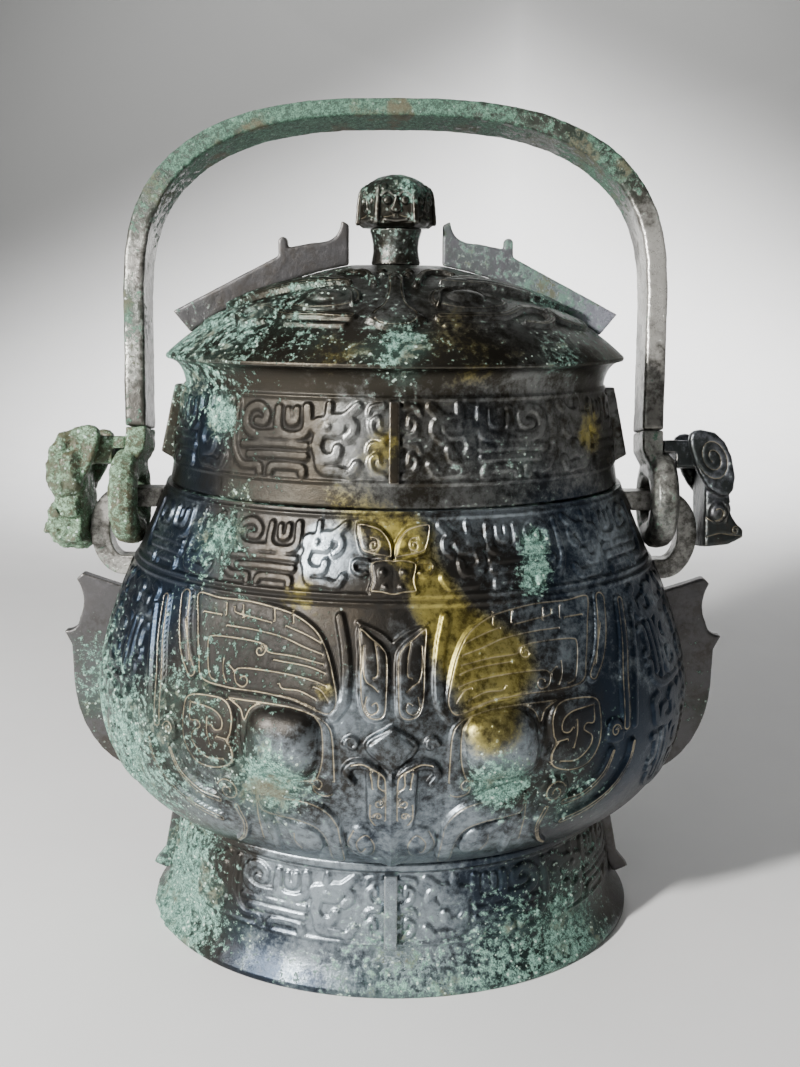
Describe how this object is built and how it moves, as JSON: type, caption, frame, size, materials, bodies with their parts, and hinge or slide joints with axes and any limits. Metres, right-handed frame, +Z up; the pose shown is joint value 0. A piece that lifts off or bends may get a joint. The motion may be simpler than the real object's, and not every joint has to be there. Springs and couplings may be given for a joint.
{
  "type": "lidded wine vessel",
  "caption": "Oval bronze covered jar on a ring foot, with hooked flanges, a domed lid with knob, and a strap bail that swings on neck lugs between horned beast heads.",
  "frame": {"origin": "middle of the plane that the ring foot stands on", "axes": "+Z up, the front of the vessel faces -Y, the lugs and the bail's ends stand at -X and +X"},
  "size_m": [0.2814, 0.1976, 0.3332],
  "materials": {
    "bronze": "dark aged bronze with a grey-brown sheen and green patches",
    "green_bronze": "aged bronze under matt green malachite patina",
    "pale_bronze": "worn grey metal sheen on aged bronze",
    "black_bronze": "glossy black-green aged bronze"
  },
  "bodies": {
    "vessel": {"vessel_bowl": "bronze", "ring_foot": "bronze", "body_flange_left": "bronze", "body_flange_right": "bronze", "foot_flange_left": "bronze", "foot_flange_right": "bronze", "foot_ridge_front": "bronze", "foot_ridge_back": "bronze", "lug_ring_left": "pale_bronze", "lug_ring_right": "pale_bronze"},
    "lid": {"lid_shell": "bronze", "lid_roof_flange_left": "green_bronze", "lid_roof_flange_right": "green_bronze", "lid_skirt_flange_left": "bronze", "lid_skirt_flange_right": "bronze", "lid_skirt_ridge_front": "bronze", "lid_skirt_ridge_back": "bronze", "knob_stem": "green_bronze", "knob_bud": "bronze"},
    "bail": {"bail_arch": "green_bronze", "bail_loop_left": "green_bronze", "bail_loop_right": "green_bronze", "beast_head_left": "black_bronze", "beast_head_right": "black_bronze"}
  },
  "joints": [
    {"name": "lid_lift", "type": "slide", "parent": "vessel", "child": "lid", "axis": [0, 0, 1], "range_m": [0, 0.055]},
    {"name": "bail_swing", "type": "hinge", "parent": "vessel", "child": "bail", "pos_m": [0, 0, 0.1748], "axis": [1, 0, 0], "range_deg": [-84, 106]}
  ]
}
